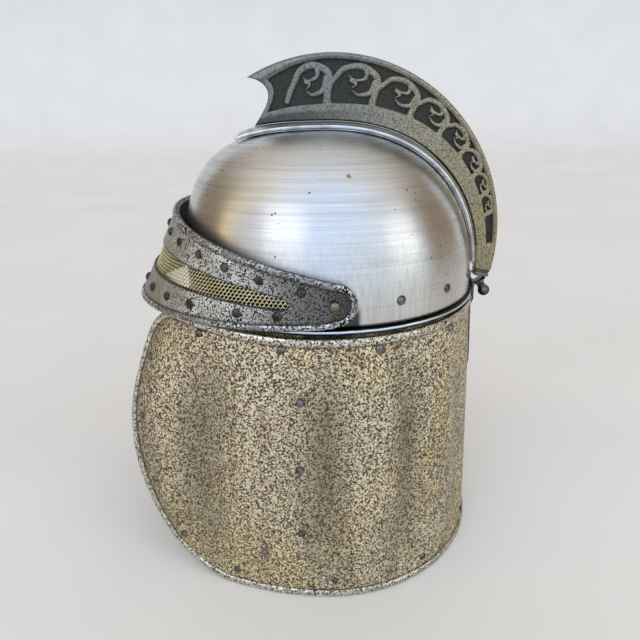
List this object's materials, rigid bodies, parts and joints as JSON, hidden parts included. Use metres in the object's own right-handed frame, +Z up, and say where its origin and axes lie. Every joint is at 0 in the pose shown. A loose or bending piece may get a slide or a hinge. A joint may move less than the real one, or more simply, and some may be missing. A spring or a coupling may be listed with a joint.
{
  "type": "knight helmet",
  "caption": "Metal helmet with a domed skull, cast fore-and-aft crest, lifting visor band with a mesh eye screen, and a fluted neck and cheek curtain open at the front.",
  "frame": {"origin": "centre of the bounding box, on the plane that the helmet stands on", "axes": "+Z up, -Y the way the wearer faces, +X the wearer's left"},
  "size_m": [0.2392, 0.2846, 0.3883],
  "materials": {
    "brushed_pewter": "satin, brushed round the dome, lightly pitted",
    "polished_steel": "polished",
    "cast_pewter": "cast and darkened in the hollows, rubbed bright on the high points",
    "vein_bronze": "vein finish, bronze and dark olive",
    "edge_steel": "dark, worn silver on the high points",
    "gunmetal": "dark vein finish",
    "brass_mesh": "pale, satin",
    "rivet_bronze": "dark, semi-gloss",
    "liner_leather": "matt",
    "liner_felt": "matt"
  },
  "bodies": {
    "helmet": {"collar_ring": "polished_steel", "crest_casting": "cast_pewter", "crest_finial": "rivet_bronze", "crest_rail": "polished_steel", "crest_socket": "gunmetal", "crown_pad": "liner_felt", "curtain": "vein_bronze", "curtain_binding": "edge_steel", "headband": "liner_leather", "pivot_nut_left": "polished_steel", "pivot_nut_right": "polished_steel", "pivot_spacer_left": "polished_steel", "pivot_spacer_right": "polished_steel", "rear_strap": "gunmetal", "side_stay_left": "gunmetal", "side_stay_right": "gunmetal", "skull": "brushed_pewter", "skull_rivet_left_1": "rivet_bronze", "skull_rivet_left_2": "rivet_bronze", "skull_rivet_left_3": "rivet_bronze", "skull_rivet_right_1": "rivet_bronze", "skull_rivet_right_2": "rivet_bronze", "skull_rivet_right_3": "rivet_bronze", "stay_rivet_left_1": "rivet_bronze", "stay_rivet_left_2": "rivet_bronze", "stay_rivet_left_3": "rivet_bronze", "stay_rivet_right_1": "rivet_bronze", "stay_rivet_right_2": "rivet_bronze", "stay_rivet_right_3": "rivet_bronze", "strap_rivet_1": "rivet_bronze", "strap_rivet_2": "rivet_bronze", "strap_rivet_3": "rivet_bronze", "visor_pivot_left": "rivet_bronze", "visor_pivot_right": "rivet_bronze"},
    "visor": {"mesh_frame": "gunmetal", "visor_binding": "edge_steel", "visor_mesh": "brass_mesh", "visor_plate": "gunmetal"}
  },
  "joints": [
    {"name": "visor_lift", "type": "hinge", "parent": "helmet", "child": "visor", "pos_m": [0, 0.0175, 0.241], "axis": [-1, 0, 0], "range_deg": [0, 38]}
  ]
}
